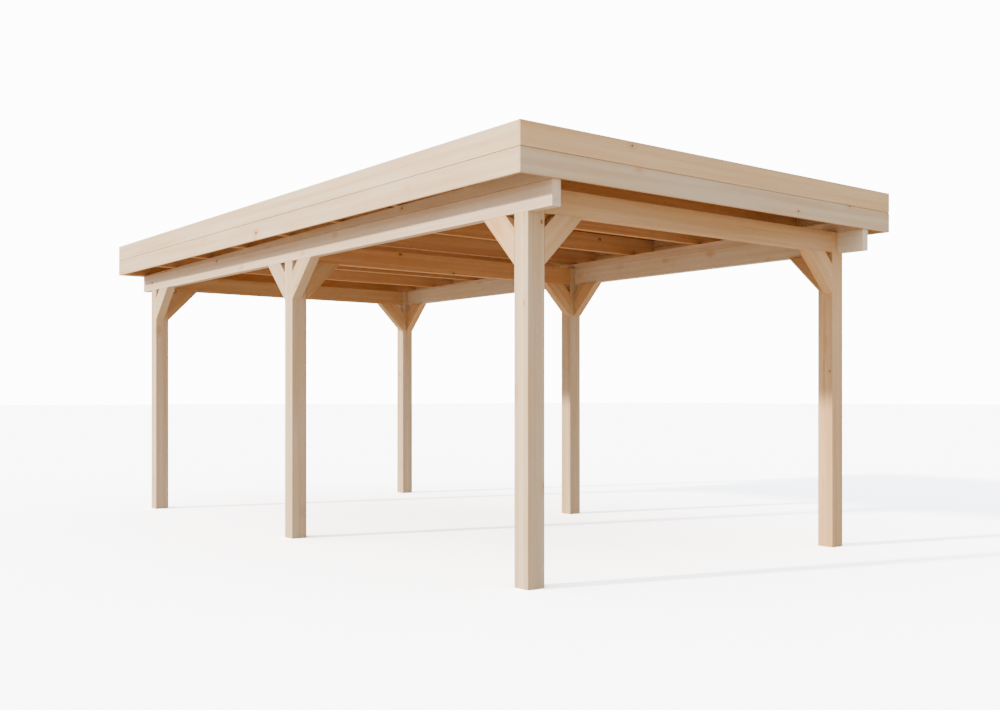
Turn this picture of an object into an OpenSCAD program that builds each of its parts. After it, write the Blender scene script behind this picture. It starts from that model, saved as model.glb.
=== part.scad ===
// Flat-roofed timber carport for one car, open on all sides.
// Six notched posts carry two side beams and three cross beams, with braces at 45 degrees.
// Tapered firring strips on the side beams give the rafters, deck and roofing a slight fall
// to the back. A level fascia of two stacked boards hides the roof's edge on all four sides.
// X runs across (left is -X), the front is -Y, +Z is up. All lengths are in millimetres.

/* [Plan] */
// Width over the outer faces of the posts
posts_width = 2880; // [2200:10:3600]
// Distance between neighbouring posts along a side, centre to centre
post_pitch = 2750; // [2000:10:3400]
// Reach of the roof past the posts on the left and right
side_overhang = 232; // [120:2:400]
// Reach of the roof past the posts at the front and back
end_overhang = 220; // [120:2:400]

/* [Posts and beams] */
// Side of the square posts
post_size = 120; // [90:5:160]
// Height of the beams' undersides, which is the posts' shoulder height
beam_underside = 2065; // [1900:5:2600]
// Height of the side beams and cross beams
beam_height = 145; // [100:5:220]
// Thickness of the side beams, which the posts are cut back by
side_beam_thick = 60; // [40:5:80]
// Thickness of the cross beams
cross_beam_thick = 60; // [40:5:90]

/* [Braces] */
// Distance from the corner to where a brace's lower edge meets the post and the beam
brace_reach = 285; // [250:5:600]
// Width of a brace, measured square to its edges
brace_width = 145; // [80:5:170]
// Thickness of a brace
brace_thick = 75; // [40:5:90]

/* [Roof] */
// Number of rafters
rafter_count = 9; // [5:1:14]
// Thickness of a rafter
rafter_thick = 45; // [35:1:70]
// Height of a rafter
rafter_height = 145; // [95:5:175]
// Height of the firring strips at the front
firring_front = 77; // [40:1:110]
// Height of the firring strips at the back
firring_back = 7; // [5:1:30]
// Thickness of the roof deck
deck_thick = 18; // [12:1:28]
// Thickness of the roofing on the deck
roofing_thick = 4; // [3:1:8]

/* [Fascia] */
// Height of one fascia board
fascia_board = 136; // [120:1:200]
// Gap between the lower and the upper fascia board
fascia_joint = 2; // [0:1:6]
// Thickness of a fascia board
fascia_thick = 18; // [12:1:28]
// Gap between the tops of the beams and the lower edge of the fascia
fascia_gap = 1; // [0:1:20]

/* [Edges] */
// Radius of the eased edges on posts, beams, rafters and braces
timber_ease = 4; // [1:0.5:6]
// Radius of the eased edges on the fascia boards
board_ease = 3; // [1:0.5:4]

/* [Hidden] */
ROWS = ["front", "middle", "back"];
SIDES = ["left", "right"];
LEVELS = ["lower", "upper"];
LEFT = 0;
RIGHT = 1;

// The plan, measured from the middle of the carport
posts_x = posts_width / 2;                          // outer faces of the posts
rows_y = [-post_pitch, 0, post_pitch];              // centres of the three rows of posts
roof_x = posts_x + side_overhang;                   // outer faces of the side fascia
roof_y = post_pitch + post_size / 2 + end_overhang; // outer faces of the front and back fascia
inner_x = roof_x - fascia_thick;
inner_y = roof_y - fascia_thick;

// The levels
beam_top = beam_underside + beam_height;
fascia_bottom = beam_top + fascia_gap;
fascia_pitch = fascia_board + fascia_joint;

// The roof's slope starts at the front ends of the side beams and falls to their back ends
roof_fall = atan((firring_front - firring_back) / (2 * inner_y));
roof_build = rafter_height + deck_thick + roofing_thick;
slope_length = (2 * inner_y - roof_build * sin(roof_fall)) / cos(roof_fall);
rafter_pitch = (slope_length - rafter_thick) / (rafter_count - 1);

SPRUCE = [0.84, 0.76, 0.63];
SPRUCE_BOARD = [0.86, 0.79, 0.68];
DECK_BOARD = [0.55, 0.39, 0.24];
ROOFING_GREY = [0.24, 0.25, 0.26];
EDGE_STEP = 30; // angle between the points of an eased edge

// Outline of a timber w wide and h high, lower left corner at the origin, its edges eased by r
function eased(w, h, r) = [
    for (corner = [[w - r, h - r, 0], [r, h - r, 90], [r, r, 180], [w - r, r, 270]])
        for (turn = [0:EDGE_STEP:90])
            [corner.x + r * cos(corner.z + turn), corner.y + r * sin(corner.z + turn)]];

// Timbers that lie along X or Y or stand along Z, from the origin
module timber_x(length, w, h, r) rotate([90, 0, 90]) linear_extrude(length) polygon(eased(w, h, r));
module timber_y(length, w, h, r)
    translate([0, length, 0]) rotate([90, 0, 0]) linear_extrude(length) polygon(eased(w, h, r));
module timber_z(length, w, h, r) linear_extrude(length) polygon(eased(w, h, r));

// Pieces are written for the right-hand side, and mirrored for the left
module on_side(side) mirror([side == LEFT ? 1 : 0, 0, 0]) children();

// A post reaches the beam's top on its inner half, and the side beam sits on its outer half
module post(row, side) color(SPRUCE) on_side(side)
    translate([posts_x - post_size, rows_y[row] - post_size / 2, 0])
        difference() {
            timber_z(beam_top, post_size, post_size, timber_ease);
            translate([post_size - side_beam_thick, -1, beam_underside])
                cube([side_beam_thick + 1, post_size + 2, beam_height + 1]);
        }

// A side beam lies in the posts' notches and runs on to the inner faces of the end fascia
module side_beam(side) color(SPRUCE) on_side(side)
    translate([posts_x - side_beam_thick, -inner_y, beam_underside])
        timber_y(2 * inner_y, side_beam_thick, beam_height, timber_ease);

// A cross beam fits between the inner faces of a pair of posts, flush with their front faces
module cross_beam(row) color(SPRUCE)
    translate([-(posts_x - post_size), rows_y[row] - post_size / 2, beam_underside])
        timber_x(2 * (posts_x - post_size), cross_beam_thick, beam_height, timber_ease);

// A brace for a corner at the origin, below a beam along +X, its thickness along +Y.
// A bar at 45 degrees is cut flush to the beam's underside and the post's face.
module brace() intersection() {
    translate([0, 0, -brace_reach]) rotate([0, -45, 0]) translate([-brace_width, 0, 0])
        timber_x(brace_reach * sqrt(2) + 2 * brace_width, brace_thick, brace_width, timber_ease);
    translate([0, -1, -brace_reach]) cube([brace_reach, brace_thick + 2, brace_reach]);
}

// A brace across the carport, from a post's inner face to the cross beam
module brace_across(row, side) color(SPRUCE) on_side(side)
    translate([posts_x - post_size, rows_y[row] - post_size / 2, beam_underside])
        mirror([1, 0, 0]) brace();

// A brace along the side. bay is 0 for the front bay and 1 for the back one; end is 0 where
// the brace leans back from the post at the bay's front, and 1 at the bay's back.
module brace_along(bay, end, side) color(SPRUCE) on_side(side)
    translate([posts_x, rows_y[bay + end] + (1 - 2 * end) * post_size / 2, beam_underside])
        mirror([0, end, 0]) rotate([0, 0, 90]) brace();

// A firring strip is a long wedge on a side beam
module firring(side) color(SPRUCE) on_side(side)
    translate([posts_x - side_beam_thick, 0, beam_top])
        rotate([90, 0, 90]) linear_extrude(side_beam_thick)
            polygon([[-inner_y, 0], [inner_y, 0], [inner_y, firring_back], [-inner_y, firring_front]]);

// Places what lies on the firrings: Y runs down the slope from the front, Z is square to it
module on_slope() translate([0, -inner_y, beam_top + firring_front])
    rotate([-roof_fall, 0, 0]) children();

// Rafters are numbered from the front. The first and last stand against the end fascia.
module rafter(i) color(SPRUCE) on_slope() translate([-inner_x, (i - 1) * rafter_pitch, 0])
    timber_x(2 * inner_x, rafter_thick, rafter_height, timber_ease);

module roof_deck() color(DECK_BOARD) on_slope() translate([-inner_x, 0, rafter_height])
    cube([2 * inner_x, slope_length, deck_thick]);

module roofing() color(ROOFING_GREY) on_slope()
    translate([-inner_x, 0, rafter_height + deck_thick])
        cube([2 * inner_x, slope_length, roofing_thick]);

// The front and back fascia boards run the full width and cover the side boards' ends
module fascia_end(back, level) color(SPRUCE_BOARD)
    translate([-roof_x, back ? inner_y : -roof_y, fascia_bottom + level * fascia_pitch])
        timber_x(2 * roof_x, fascia_thick, fascia_board, board_ease);

module fascia_side(side, level) color(SPRUCE_BOARD) on_side(side)
    translate([inner_x, -inner_y, fascia_bottom + level * fascia_pitch])
        timber_y(2 * inner_y, fascia_thick, fascia_board, board_ease);

for (side = [LEFT, RIGHT]) {
    for (row = [0:2]) {
        post(row, side);
        brace_across(row, side);
    }
    for (bay = [0:1], end = [0:1])
        brace_along(bay, end, side);
    side_beam(side);
    firring(side);
}
for (row = [0:2])
    cross_beam(row);
for (i = [1:rafter_count])
    rafter(i);
for (level = [0:1]) {
    fascia_end(false, level);
    fascia_end(true, level);
    fascia_side(LEFT, level);
    fascia_side(RIGHT, level);
}
roof_deck();
roofing();
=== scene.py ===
# %% [markdown]
# # A timber carport, dressed in Blender
#
# A carport is a roof on posts. The shapes of its timbers come from a finished design, which is
# loaded first and never moved. What is left for Blender is the look: planed spruce with its
# growth rings, streaks and knots, the boards of the roof seen from below, and the felt on top.
# Units are metres. X runs across, the front faces -Y, and Z points up.

# %% Load the finished timbers
import math
import bpy
import bmesh
from mathutils import Matrix, Vector


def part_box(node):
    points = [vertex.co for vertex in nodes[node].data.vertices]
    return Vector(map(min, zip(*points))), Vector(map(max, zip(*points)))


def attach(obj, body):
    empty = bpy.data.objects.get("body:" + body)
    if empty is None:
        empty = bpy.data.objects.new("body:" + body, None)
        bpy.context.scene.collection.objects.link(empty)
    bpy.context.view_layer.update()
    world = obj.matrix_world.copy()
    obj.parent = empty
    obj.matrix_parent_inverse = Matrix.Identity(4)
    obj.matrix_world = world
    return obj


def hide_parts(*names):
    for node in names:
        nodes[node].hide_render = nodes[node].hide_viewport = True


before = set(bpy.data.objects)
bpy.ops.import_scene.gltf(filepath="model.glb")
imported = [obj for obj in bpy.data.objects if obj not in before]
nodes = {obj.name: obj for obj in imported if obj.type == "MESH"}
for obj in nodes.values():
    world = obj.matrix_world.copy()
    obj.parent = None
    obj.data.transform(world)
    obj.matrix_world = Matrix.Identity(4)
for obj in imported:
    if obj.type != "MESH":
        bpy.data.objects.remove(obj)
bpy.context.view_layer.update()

# %% [markdown]
# ## Camera
#
# A level camera keeps the posts upright in the picture. It stands low, at about the height of a
# seated person's eyes, out beyond the front left corner. Instead of tilting it, a small vertical
# shift moves the picture up, as an architect's lens does.

# %% Camera
CAMERA_PLACE = (-5.206, -7.377, 1.05)
CAMERA_TURN = math.radians(-38.04)
CAMERA_LENS = 39.2      # millimetres
CAMERA_SHIFT = 0.0424   # how far the picture moves up, as a share of its width
camera_data = bpy.data.cameras.new("camera")
camera_data.lens = CAMERA_LENS
camera_data.shift_y = CAMERA_SHIFT
camera = bpy.data.objects.new("camera", camera_data)
camera.location = CAMERA_PLACE
camera.rotation_euler = (math.radians(90), 0, CAMERA_TURN)
bpy.context.scene.collection.objects.link(camera)
bpy.context.scene.camera = camera
print("camera at", CAMERA_PLACE, "lens", CAMERA_LENS, "mm")

# %% [markdown]
# ## Small helpers for shader nodes
#
# A procedural material is a chain of small sums. Writing each node on one line, with its inputs
# by name, keeps such a chain readable. `put` makes a node, and an input may be a plain value or
# the output of an earlier node. The others make the few kinds of node that wood needs most.

# %% Node helpers
def put(tree, kind, inputs, **settings):
    node = tree.nodes.new("ShaderNode" + kind)
    for name, value in settings.items():
        setattr(node, name, value)
    for socket, value in inputs.items():
        if isinstance(value, bpy.types.NodeSocket):
            tree.links.new(value, node.inputs[socket])
        else:
            node.inputs[socket].default_value = value
    return node


def sum_of(tree, operation, a, b=0.0, c=0.0):
    return put(tree, "Math", {0: a, 1: b, 2: c}, operation=operation).outputs[0]


def vector_of(tree, operation, a, b):
    return put(tree, "VectorMath", {0: a, 1: b}, operation=operation).outputs[0]


def length_of(tree, vector):
    return put(tree, "VectorMath", {0: vector}, operation="LENGTH").outputs["Value"]


def remap(tree, value, start, end, low, high, way="LINEAR"):
    """Turns the range from start to end into low to high, and holds it level beyond both."""
    inputs = {"Value": value, 1: start, 2: end, 3: low, 4: high}
    return put(tree, "MapRange", inputs, interpolation_type=way).outputs[0]


def blend_colour(tree, share, a, b, way="MIX"):
    mixed = put(tree, "Mix", {"Factor": share}, data_type="RGBA", blend_type=way)
    for socket, value in ((6, a), (7, b)):
        if isinstance(value, bpy.types.NodeSocket):
            tree.links.new(value, mixed.inputs[socket])
        else:
            mixed.inputs[socket].default_value = (*value, 1.0)
    return mixed.outputs[2]


def noise(tree, vector, scale, detail=2.0):
    inputs = {"Vector": vector, "Scale": scale, "Detail": detail}
    return put(tree, "TexNoise", inputs).outputs["Fac"]


def stretched(tree, vector, along, across):
    return put(tree, "Mapping", {"Vector": vector, "Scale": (along, across, across)}).outputs[0]


print("helpers ready")

# %% [markdown]
# ## Light and floor
#
# A low lamp on the left makes the left faces bright and leaves the front faces in open shade. A
# second, very wide one on the same side is the bright half of the sky, and reaches in under the
# roof. The rest of the light comes evenly from a slightly cool surround, and from the floor, which
# throws it back warm, as paving does. Rays from the camera see the surround and the floor as
# near white instead, so the stage stays plain. The AgX view rolls bright colours off towards
# white, as film does: the same wood looks pale in the sun and warm in the shade.

# %% Light
LOW_LAMP_DIRECTION = (1.0, -0.286, -0.376)
WIDE_LAMP_DIRECTION = (1.0, 0.0, -0.15)
SURROUND_LIGHT = (0.48, 0.52, 0.58)
SURROUND_SEEN = (3.5, 3.5, 3.5)


def lamp(name, direction, energy, width, colour):
    """A lamp so far away that its rays are parallel. width is its angle in the sky, in degrees."""
    data = bpy.data.lights.new(name, "SUN")
    data.energy = energy
    data.angle = math.radians(width)
    data.color = colour
    holder = bpy.data.objects.new(name, data)
    holder.rotation_mode = "QUATERNION"
    holder.rotation_quaternion = Vector(direction).to_track_quat("-Z", "Y")
    bpy.context.scene.collection.objects.link(holder)
    print(name, "strength", energy, "from", direction)


lamp("low_lamp", LOW_LAMP_DIRECTION, energy=2.3, width=3, colour=(1.0, 0.92, 0.82))
lamp("wide_lamp", WIDE_LAMP_DIRECTION, energy=0.9, width=110, colour=(0.92, 0.96, 1.0))


def seen_and_unseen(tree, seen, unseen):
    """A colour that is `seen` by the camera, and `unseen` where it lights other things."""
    camera_ray = put(tree, "LightPath", {}).outputs["Is Camera Ray"]
    return blend_colour(tree, camera_ray, unseen, seen)


surround = bpy.data.worlds.new("pale_surround")
surround.use_nodes = True
surround_tree = surround.node_tree
surround_colour = seen_and_unseen(surround_tree, SURROUND_SEEN, SURROUND_LIGHT)
surround_tree.links.new(surround_colour, surround_tree.nodes["Background"].inputs["Color"])
bpy.context.scene.world = surround
view = bpy.context.scene.view_settings
view.view_transform = "AgX"
view.look = "AgX - Medium High Contrast"
view.exposure = 0.9
print("surround", SURROUND_LIGHT, "view", view.look)

# %% Floor
FLOOR_HALF = 150.0
FLOOR_SEEN = (3.2, 3.1, 3.0)
FLOOR_BOUNCE = (0.62, 0.52, 0.42)
floor_mesh = bpy.data.meshes.new("floor")
shape = bmesh.new()
bmesh.ops.create_grid(shape, x_segments=1, y_segments=1, size=FLOOR_HALF)
shape.to_mesh(floor_mesh)
shape.free()
floor = bpy.data.objects.new("floor", floor_mesh)
bpy.context.scene.collection.objects.link(floor)
floor_paint = bpy.data.materials.new("pale_floor")
floor_paint.use_nodes = True
floor_tree = floor_paint.node_tree
floor_shader = floor_tree.nodes["Principled BSDF"]
floor_colour = seen_and_unseen(floor_tree, FLOOR_SEEN, FLOOR_BOUNCE)
floor_tree.links.new(floor_colour, floor_shader.inputs["Base Color"])
floor_shader.inputs["Roughness"].default_value = 0.9
floor_shader.inputs["Specular IOR Level"].default_value = 0.0
floor_mesh.materials.append(floor_paint)
print("floor", 2 * FLOOR_HALF, "m square")

# %% [markdown]
# ## Spruce, cut from a tree
#
# Wood isn't a picture on a surface. It is a solid made of rings round the tree's pith, so the
# same pattern gives long lines on a face, arches on a flat-sawn board and arcs on a cut end.
# The material therefore works in a space of its own, with the grain along X and the pith near
# the X axis. Glued timbers are made of several layers, each from another tree: the layer's
# number is hashed into a shift of the pattern and a slight change of tone.

# %% Growth rings
RING_WIDTH = 0.0034     # metres from one ring to the next
RING_DRIFT = 3.0        # how many rings their uneven spacing adds at most
WAVER = 0.016           # how far the rings wander, in metres
LINE_START = 0.30       # where the dark line starts, as a share of a ring's width
LINE_DARKEST = 0.92     # and where it is darkest


def growth_rings(tree, place, knot_pull):
    """Returns 0 in the pale spring wood, rising to 1 in the dark line at a ring's edge."""
    bend = noise(tree, stretched(tree, place, 0.7, 5.0), 1.0, 2.0)
    parts = put(tree, "SeparateXYZ", {0: place})
    flat = put(tree, "CombineXYZ", {1: parts.outputs[1], 2: parts.outputs[2]}).outputs[0]
    radius = length_of(tree, flat)
    radius = sum_of(tree, "MULTIPLY_ADD", bend, WAVER, radius)
    radius = sum_of(tree, "ADD", radius, knot_pull)
    uneven = noise(tree, put(tree, "CombineXYZ", {0: radius}).outputs[0], 38.0, 1.0)
    even_count = sum_of(tree, "DIVIDE", radius, RING_WIDTH)
    count = sum_of(tree, "MULTIPLY_ADD", uneven, RING_DRIFT, even_count)
    within_ring = sum_of(tree, "FRACT", count)
    ramp = put(tree, "ValToRGB", {"Fac": within_ring})
    spring, summer = ramp.color_ramp.elements
    spring.position, spring.color = LINE_START, (0, 0, 0, 1)
    summer.position, summer.color = LINE_DARKEST, (1, 1, 1, 1)
    ramp.color_ramp.elements.new(1.0).color = (0.05, 0.05, 0.05, 1)
    return ramp.outputs["Color"]


print("rings", round(1000 * RING_WIDTH, 1), "mm apart")

# %% [markdown]
# A knot is where a branch grew out of the trunk, so it crosses the rings. The wood is divided
# into long blocks, and a Voronoi texture puts one point in each, at a place of its own. About
# half of these points become knots, each with its own size.

# %% Knots
KNOT_CELL = (0.50, 0.085, 0.085)   # one possible knot in each such block of wood, metres
KNOT_LARGEST = 0.016               # radius, metres
KNOT_LEAST = 0.0005                # added to every radius, so that none is zero
KNOT_FREE = 0.45                   # share of the blocks that have no knot
KNOT_LONGER = (0.62, 1.0, 1.0)     # distances along the grain count for less
KNOT_RAGGED = 0.004                # how far its outline wanders, metres


def knots(tree, place):
    """Returns (distance to the nearest knot in its own radii, its 0 to 1 strength)."""
    per_cell = tuple(1.0 / side for side in KNOT_CELL)
    cells = put(tree, "Mapping", {"Vector": place, "Scale": per_cell}).outputs[0]
    cell = put(tree, "TexVoronoi", {"Vector": cells, "Scale": 1.0, "Randomness": 0.85})
    away = vector_of(tree, "SUBTRACT", cells, cell.outputs["Position"])
    away = vector_of(tree, "MULTIPLY", away, KNOT_CELL)
    away = vector_of(tree, "MULTIPLY", away, KNOT_LONGER)
    distance = length_of(tree, away)
    luck = put(tree, "SeparateColor", {0: cell.outputs["Color"]}).outputs[0]
    size = remap(tree, luck, KNOT_FREE, 1.0, 0.0, KNOT_LARGEST)
    wobble = noise(tree, place, 160.0, 2.0)
    distance = sum_of(tree, "MULTIPLY_ADD", wobble, KNOT_RAGGED, distance)
    near = sum_of(tree, "DIVIDE", distance, sum_of(tree, "ADD", size, KNOT_LEAST))
    return near, sum_of(tree, "MULTIPLY", size, 1.0 / KNOT_LARGEST)


print("knots up to", round(2000 * KNOT_LARGEST), "mm across")

# %% [markdown]
# ## One wood, many timbers
#
# Every timber gets a material of its own, made by one function, because no two planks look the
# same. The function turns the timber's length onto X, moves the pattern to a place in the tree
# that only this timber has, and sets its tone. Along its grain a plank also has broad soft
# streaks and very fine fibres, which carry most of its look from a few steps away.

# %% Place in the tree
SEED_STEP = 7.13                  # sets two timbers apart by more layers than a post has
TREE_SPREAD = (30.0, 0.14, 0.10)  # how far apart in the tree the layers come from, metres
FROM_PITH = (0.0, 0.045, 0.085)   # the middle of those places, metres from the pith


def place_in_tree(tree, direction, middle, seed, layer):
    """Returns where in the tree this point of the timber was, and its layer's luck, 0 to 1."""
    turn = Vector(direction).normalized().rotation_difference(Vector((1, 0, 0))).to_euler()
    shift = -(turn.to_matrix() @ Vector(middle))
    here = put(tree, "TexCoord", {}).outputs["Object"]
    here = put(tree, "Mapping", {"Vector": here, "Rotation": turn, "Location": shift}).outputs[0]
    parts = put(tree, "SeparateXYZ", {0: here})
    if layer:
        layers_up = sum_of(tree, "MULTIPLY_ADD", parts.outputs[1], 1.0 / layer, 0.5)
        number = sum_of(tree, "FLOOR", layers_up)
    else:
        number = sum_of(tree, "MULTIPLY", parts.outputs[1], 0.0)
    number = sum_of(tree, "ADD", number, seed * SEED_STEP)
    own = put(tree, "TexWhiteNoise", {"W": number}, noise_dimensions="1D")
    spread = vector_of(tree, "SUBTRACT", own.outputs["Color"], (0.5, 0.5, 0.5))
    spread = vector_of(tree, "MULTIPLY", spread, TREE_SPREAD)
    from_pith = vector_of(tree, "ADD", spread, FROM_PITH)
    return vector_of(tree, "ADD", here, from_pith), own.outputs["Value"]


print("layers are taken from", TREE_SPREAD[0], "m of trunk")

# %% Clear wood
RING_SHOW = 0.62        # how strongly the dark lines of the rings show
STREAK_SHOW = 0.72      # and the broad streaks
PATCH_SHOW = 0.55       # and the soft warm patches
WARM_PATCH = (0.98, 0.90, 0.76)


def clear_wood(tree, place, rings, fibre, layer_value, tones):
    """Returns the colour of wood without knots."""
    tone, dark_tone = tones
    streak = noise(tree, stretched(tree, place, 0.5, 26.0), 1.0, 3.0)
    patch = noise(tree, stretched(tree, place, 1.3, 9.0), 1.0, 2.0)
    colour = blend_colour(tree, sum_of(tree, "MULTIPLY", rings, RING_SHOW), tone, dark_tone)
    streaked = remap(tree, streak, 0.38, 0.64, 0.0, STREAK_SHOW)
    colour = blend_colour(tree, streaked, colour, dark_tone)
    warm = remap(tree, patch, 0.42, 0.68, 0.0, PATCH_SHOW)
    colour = blend_colour(tree, warm, colour, WARM_PATCH, "MULTIPLY")
    fibre_value = sum_of(tree, "MULTIPLY_ADD", fibre, 0.24, 0.88)
    value = sum_of(tree, "MULTIPLY", fibre_value, layer_value)
    return put(tree, "HueSaturation", {"Value": value, "Color": colour}).outputs[0]


print("rings show", RING_SHOW, "streaks", STREAK_SHOW, "warm patches", PATCH_SHOW)

# %% Knots over clear wood
KNOT_HALO = (0.56, 0.33, 0.15)
KNOT_BROWN = (0.34, 0.17, 0.07)
KNOT_RIM = (0.13, 0.06, 0.03)


def add_knots(tree, colour, near, halo):
    """Returns the colour with knots: an amber halo, a brown core, and a dark rim of old bark."""
    colour = blend_colour(tree, sum_of(tree, "MULTIPLY", halo, 0.75), colour, KNOT_HALO)
    core = remap(tree, near, 1.05, 0.85, 0.0, 0.85, "SMOOTHSTEP")
    colour = blend_colour(tree, core, colour, KNOT_BROWN)
    rim_outside = remap(tree, near, 1.15, 1.0, 0.0, 1.0)
    rim_inside = remap(tree, near, 0.72, 0.9, 0.0, 1.0)
    rim = sum_of(tree, "MULTIPLY", sum_of(tree, "MULTIPLY", rim_outside, rim_inside), 0.6)
    return blend_colour(tree, rim, colour, KNOT_RIM)


print("knots from", KNOT_HALO, "in to", KNOT_BROWN)

# %% Spruce material
KNOT_PUSH = 0.012       # how far a knot pushes the rings aside, metres
END_DARKER = 0.25       # how much of the dark tone a cut end takes
LAYER_SHIFT = 0.06      # how much lighter or darker a layer may be


def spruce(name, direction, middle, seed, tones, layer=None, layer_shift=LAYER_SHIFT):
    """A material for one timber: direction of its grain, middle of its section, seed, and its
    tones, pale and dark. layer is the thickness of its glued layers (or the width of its
    boards), stacked across."""
    material = bpy.data.materials.new(name)
    material.use_nodes = True
    tree = material.node_tree
    shader = tree.nodes["Principled BSDF"]
    place, luck = place_in_tree(tree, direction, middle, seed, layer)

    # Knots push the rings aside as they grow
    near, strength = knots(tree, place)
    halo = remap(tree, near, 0.6, 4.0, 1.0, 0.0, "SMOOTHSTEP")
    halo = sum_of(tree, "MULTIPLY", halo, strength)
    rings = growth_rings(tree, place, sum_of(tree, "MULTIPLY", halo, KNOT_PUSH))

    fibre = noise(tree, stretched(tree, place, 9.0, 620.0), 1.0, 2.0)
    layer_value = sum_of(tree, "MULTIPLY_ADD", luck, 2 * layer_shift, 1.0 - layer_shift)
    colour = clear_wood(tree, place, rings, fibre, layer_value, tones)
    colour = add_knots(tree, colour, near, halo)

    # Cut ends drink more light and are rougher than the planed faces
    normal = put(tree, "TexCoord", {}).outputs["Normal"]
    facing = put(tree, "VectorMath", {0: normal, 1: Vector(direction).normalized()},
                 operation="DOT_PRODUCT")
    along_grain = sum_of(tree, "ABSOLUTE", facing.outputs["Value"])
    cut_end = remap(tree, along_grain, 0.85, 0.97, 0.0, 1.0)
    colour = blend_colour(tree, sum_of(tree, "MULTIPLY", cut_end, END_DARKER), colour, tones[1])
    rough = sum_of(tree, "MULTIPLY_ADD", fibre, 0.22, 0.50)
    rough = sum_of(tree, "MULTIPLY_ADD", cut_end, 0.2, rough)
    tree.links.new(colour, shader.inputs["Base Color"])
    tree.links.new(rough, shader.inputs["Roughness"])
    shader.inputs["Specular IOR Level"].default_value = 0.25

    # Planed wood is nearly flat: the fibres and the hard ring lines stand a little proud
    height = sum_of(tree, "MULTIPLY_ADD", rings, 0.5, fibre)
    bump = put(tree, "Bump", {"Height": height, "Strength": 0.35, "Distance": 0.0006})
    tree.links.new(bump.outputs[0], shader.inputs["Normal"])
    return material


print("spruce ready, its layers up to", round(100 * LAYER_SHIFT), "% lighter or darker")

# %% [markdown]
# ## Dressing the timbers
#
# A timber's grain always runs along its length, so its direction is known from its kind. Braces
# are cut at 45 degrees, and their grain runs down the brace. The timbers are one wood, and their
# tones paint light and shade on it. One side beam is painted light, cream, and the other nearly as
# pale; the posts and most of the fascia come next; most braces and the end beams are painted
# shade, honey coloured; and the rafters are painted darkest, as the shade under the roof.

# %% Tones
# Each is a pair: the pale wood, and its dark rings and streaks
# Besides spruce, these pairs paint light and shade on the one wood: cream and pale are painted
# light, and honey, rafter and ceiling are painted shade, darker and warmer, for timbers in shade
# and under the roof.
PAINTED_LIGHT_CREAM = (0.82, 0.74, 0.60), (0.72, 0.61, 0.46)
PAINTED_LIGHT_PALE = (0.75, 0.62, 0.48), (0.63, 0.48, 0.33)
SPRUCE = (0.68, 0.55, 0.385), (0.57, 0.41, 0.26)
PAINTED_SHADE_HONEY = (0.69, 0.49, 0.29), (0.57, 0.36, 0.19)
PAINTED_SHADE_RAFTER = (0.64, 0.41, 0.23), (0.52, 0.29, 0.14)
PAINTED_SHADE_CEILING = (0.34, 0.115, 0.025), (0.23, 0.065, 0.012)


def middle_of(name):
    low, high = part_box(name)
    return (low + high) / 2


def dress(name, direction, tones, layer=None, layer_shift=LAYER_SHIFT):
    """Gives a timber its wood. Its place in the list of names is its seed."""
    seed = 1 + sorted(nodes).index(name)
    wood = spruce("wood_" + name, direction, middle_of(name), seed, tones, layer, layer_shift)
    piece = nodes[name]
    piece.data.materials.clear()
    piece.data.materials.append(wood)


print("tones from", PAINTED_LIGHT_CREAM[0], "to", PAINTED_SHADE_CEILING[0])

# %% Posts, beams and rafters
ACROSS, ALONG, UP = (1, 0, 0), (0, 1, 0), (0, 0, 1)
POST_LAYER = 0.04           # thickness of a post's glued layers
POST_LAYER_SHIFT = 0.05
# The front right post gets the honey pair, painted shade, and the right side beam the cream pair,
# painted light.
dress("post_front_right", UP, PAINTED_SHADE_HONEY, POST_LAYER, POST_LAYER_SHIFT)
dress("side_beam_right", ALONG, PAINTED_LIGHT_CREAM)
# The left side beam and the firrings get the pale pair, painted light; the front and back cross
# beams get the honey pair, painted shade; the middle cross beam and the rafters get the rafter
# pair, darker painted shade under the roof.
for name in sorted(nodes):
    if name.startswith("post_") and name != "post_front_right":
        dress(name, UP, SPRUCE, POST_LAYER, POST_LAYER_SHIFT)
    elif name.startswith(("side_beam_left", "firring_")):
        dress(name, ALONG, PAINTED_LIGHT_PALE)
    elif name in ("cross_beam_front", "cross_beam_back"):
        dress(name, ACROSS, PAINTED_SHADE_HONEY)
    elif name.startswith(("cross_beam_middle", "rafter_")):
        dress(name, ACROSS, PAINTED_SHADE_RAFTER)
print("dressed posts, beams, firrings and rafters")

# %% Braces
for name in sorted(nodes):
    if name.startswith("brace_across_"):
        inward = 1 if name.endswith("left") else -1
        dress(name, (inward, 0, 1), PAINTED_SHADE_HONEY)
    elif name.startswith("brace_along_"):
        # Braces in shade get the honey pair, painted shade; the left along-braces, which face the
        # low lamp, get the paler spruce pair, painted light.
        backward = 1 if "_bay_front_" in name else -1
        painted_light_brace = name.endswith("left") and "front_bay_front" not in name
        dress(name, (0, backward, 1), SPRUCE if painted_light_brace else PAINTED_SHADE_HONEY)
print("dressed the braces")

# %% Fascia
# The upper front board gets the honey pair, painted shade.
dress("fascia_front_upper", ACROSS, PAINTED_SHADE_HONEY)
for name in ("fascia_front_lower", "fascia_back_lower", "fascia_back_upper"):
    dress(name, ACROSS, SPRUCE)
for name in sorted(nodes):
    if name.startswith(("fascia_left", "fascia_right")):
        dress(name, ALONG, SPRUCE)
print("dressed the fascia boards")

# %% [markdown]
# ## The roof's slope
#
# The roof falls a little to the back, so its flat layers are tilted boxes. A box's outer corners
# don't say how thick a tilted slab is, but with the angle known they do. The angle comes from
# the first and last rafters, which are alike: one sits lower than the other. The boards and the
# felt are then built flat, where bmesh is easy to use, and turned onto the slope at the end.

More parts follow.
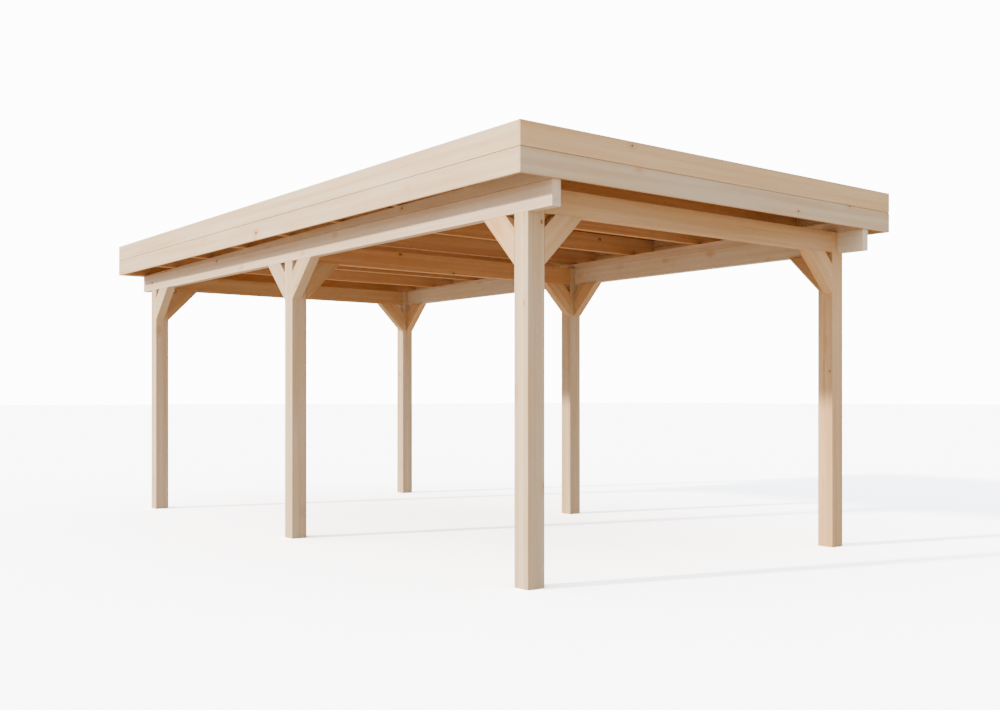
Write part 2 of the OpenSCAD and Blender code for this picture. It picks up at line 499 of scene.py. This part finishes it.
# %% Slope
first_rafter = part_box("rafter_1")[0]
last_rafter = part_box("rafter_9")[0]
FALL = math.atan2(first_rafter.z - last_rafter.z, last_rafter.y - first_rafter.y)


def slab_on_slope(name):
    """Returns the slab's width, length down the slope, thickness, and the turn onto its place."""
    low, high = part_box(name)
    tall, deep = high.z - low.z, high.y - low.y
    side, up = math.sin(FALL), math.cos(FALL)
    both = up * up - side * side
    thickness = (tall * up - deep * side) / both
    length = (deep * up - tall * side) / both
    front_edge = Vector((0, low.y, high.z - thickness * up))
    onto_slope = Matrix.Translation(front_edge) @ Matrix.Rotation(-FALL, 4, "X")
    return high.x - low.x, length, thickness, onto_slope


def finish_piece(shape, name, onto_slope, material):
    """Turns a flat shape onto the slope, and makes it a piece of the carport."""
    bmesh.ops.transform(shape, matrix=onto_slope, verts=shape.verts)
    bmesh.ops.recalc_face_normals(shape, faces=shape.faces)
    mesh = bpy.data.meshes.new(name)
    shape.to_mesh(mesh)
    shape.free()
    mesh.materials.append(material)
    piece = bpy.data.objects.new(name, mesh)
    bpy.context.scene.collection.objects.link(piece)
    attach(piece, "root")
    print(name, "has", len(mesh.polygons), "faces")
    return piece


deck_width, deck_length, deck_thick, deck_place = slab_on_slope("roof_deck")
print("fall", round(math.degrees(FALL), 3), "degrees")
print("deck", round(deck_thick * 1000, 1), "mm thick")

# %% [markdown]
# ## Roof boards
#
# Seen from below, the roof between the rafters is a ceiling of narrow boards. They run from
# front to back, and their lower edges are chamfered, so that each joint is a small V. One board
# is a cube stretched to size with its two lower long edges bevelled, and the rest are copies.

# %% Roof boards
BOARD_COVER = 0.096     # width of roof that one board covers
JOINT_CHAMFER = 0.004
BOARD_SEED = 61         # past the seeds of all the timbers
BOARD_SHIFT = 0.10      # how much lighter or darker a board may be
board_count = round(deck_width / BOARD_COVER)
board_width = deck_width / board_count
first_x = (board_width - deck_width) / 2
shape = bmesh.new()
bmesh.ops.create_cube(shape, size=1.0)
bmesh.ops.scale(shape, vec=(board_width, deck_length, deck_thick), verts=shape.verts)
lower_long = [e for e in shape.edges if all(v.co.z < 0 for v in e.verts)
              and abs(e.verts[0].co.y - e.verts[1].co.y) > deck_length / 2]
bmesh.ops.bevel(shape, geom=lower_long, offset=JOINT_CHAMFER, segments=1, affect="EDGES",
                profile=0.5, material=-1)
first_board = Vector((first_x, deck_length / 2, deck_thick / 2))
bmesh.ops.translate(shape, vec=first_board, verts=shape.verts)
one_board = list(shape.verts) + list(shape.edges) + list(shape.faces)
for number in range(1, board_count):
    copy = bmesh.ops.duplicate(shape, geom=one_board)["geom"]
    copied = [part for part in copy if isinstance(part, bmesh.types.BMVert)]
    bmesh.ops.translate(shape, vec=(number * board_width, 0, 0), verts=copied)
first_middle = Vector((first_x, 0, middle_of("roof_deck").z))
# The boards get the darkest pair, painted shade for the ceiling under the roof.
board_wood = spruce("wood_roof_boards", ALONG, first_middle, BOARD_SEED, PAINTED_SHADE_CEILING,
                    board_width, BOARD_SHIFT)
deck_boards = finish_piece(shape, "roof_boards", deck_place, board_wood)
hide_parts("roof_deck")
print(board_count, "boards", round(board_width * 1000, 1), "mm wide")

# %% [markdown]
# ## Roofing felt
#
# Felt is laid in strips across the slope, from the low end up. Each strip's lower edge lies on
# the strip below it, so water runs over the joint. A strip is drawn as a short path seen from
# the side, pulled across the roof with an extrude, and given its thickness with solidify. At the
# edges a bent strip turns up against the inside of the fascia.

# %% Felt strips
FELT = 0.0022           # thickness
FELT_STRIP = 1.0        # width of the roll
FELT_LAP = 0.08         # how far a strip lies on the one below
FELT_STEP = 0.012       # length of the little ramp up onto it
felt_width, felt_length, _, felt_place = slab_on_slope("roofing")


def pull_path(shape, points, along):
    """Draws a path on the roof, pulls it along a vector into a sheet, and turns the sheet's
    faces to the roof, because solidify then adds the thickness on top."""
    corners = [shape.verts.new(p) for p in points]
    path = [shape.edges.new(pair) for pair in zip(corners, corners[1:])]
    pulled = bmesh.ops.extrude_edge_only(shape, edges=path)["geom"]
    ends = [part for part in pulled if isinstance(part, bmesh.types.BMVert)]
    faces = [part for part in pulled if isinstance(part, bmesh.types.BMFace)]
    bmesh.ops.translate(shape, vec=along, verts=ends)
    shape.normal_update()
    if sum(face.normal.z for face in faces) > 0:
        bmesh.ops.reverse_faces(shape, faces=faces)


shape = bmesh.new()
across = Vector((felt_width, 0, 0))
lower_edge = felt_length
while lower_edge > 0:
    upper_edge = max(0.0, lower_edge - FELT_STRIP)
    lifted = 0.0 if lower_edge == felt_length else FELT
    bend = lower_edge - FELT_LAP
    path = [(upper_edge, 0.0), (bend - FELT_STEP, 0.0), (bend, lifted), (lower_edge, lifted)]
    pull_path(shape, [(-felt_width / 2, y, z) for y, z in path], across)
    lower_edge = upper_edge + FELT_LAP if upper_edge > 0 else 0.0
print("felt strips drawn:", len(shape.faces) // (len(path) - 1))

# %% Felt edges
FELT_FLAP = 0.09        # how far an edge strip lies on the roof
FELT_UPSTAND = 0.024    # and how far it turns up the fascia
half = felt_width / 2
for side in (-1, 1):
    wall = side * (half - FELT)
    profile = [(side * (half - FELT_FLAP), FELT), (wall, FELT), (wall, FELT_UPSTAND)]
    pull_path(shape, [(x, 0.0, z + FELT) for x, z in profile], Vector((0, felt_length, 0)))
for wall, inward in ((FELT, 1), (felt_length - FELT, -1)):
    profile = [(wall + inward * FELT_FLAP, FELT), (wall, FELT), (wall, FELT_UPSTAND)]
    between = Vector((felt_width - 2 * FELT, 0, 0))
    pull_path(shape, [(-half + FELT, y, z + FELT) for y, z in profile], between)
bmesh.ops.solidify(shape, geom=shape.faces[:], thickness=FELT)
print("felt sheets with thickness:", len(shape.faces), "faces")

# %% [markdown]
# Felt is faced with crushed slate. Up close that is a dense speckle of grains, and from afar a
# dull grey that dust and standing water have made a little uneven.

# %% Felt material
SLATE_DARK = (0.055, 0.060, 0.065)
SLATE_PALE = (0.17, 0.18, 0.185)
DUST = (0.20, 0.19, 0.17)
felt = bpy.data.materials.new("slate_felt")
felt.use_nodes = True
felt_tree = felt.node_tree
felt_shader = felt_tree.nodes["Principled BSDF"]
spot = put(felt_tree, "TexCoord", {}).outputs["Object"]
grain_cell = put(felt_tree, "TexVoronoi", {"Vector": spot, "Scale": 420.0})
grain_tone = put(felt_tree, "SeparateColor", {0: grain_cell.outputs["Color"]}).outputs[0]
dust = noise(felt_tree, spot, 0.9, 5.0)
slate = blend_colour(felt_tree, grain_tone, SLATE_DARK, SLATE_PALE)
dusty = remap(felt_tree, dust, 0.40, 0.72, 0.0, 0.45)
slate = blend_colour(felt_tree, dusty, slate, DUST)
felt_tree.links.new(slate, felt_shader.inputs["Base Color"])
felt_shader.inputs["Roughness"].default_value = 0.9
felt_bump = put(felt_tree, "Bump",
                {"Height": grain_cell.outputs["Distance"], "Strength": 0.6, "Distance": 0.001})
felt_tree.links.new(felt_bump.outputs[0], felt_shader.inputs["Normal"])
roofing_felt = finish_piece(shape, "roofing_felt", felt_place, felt)
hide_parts("roofing")
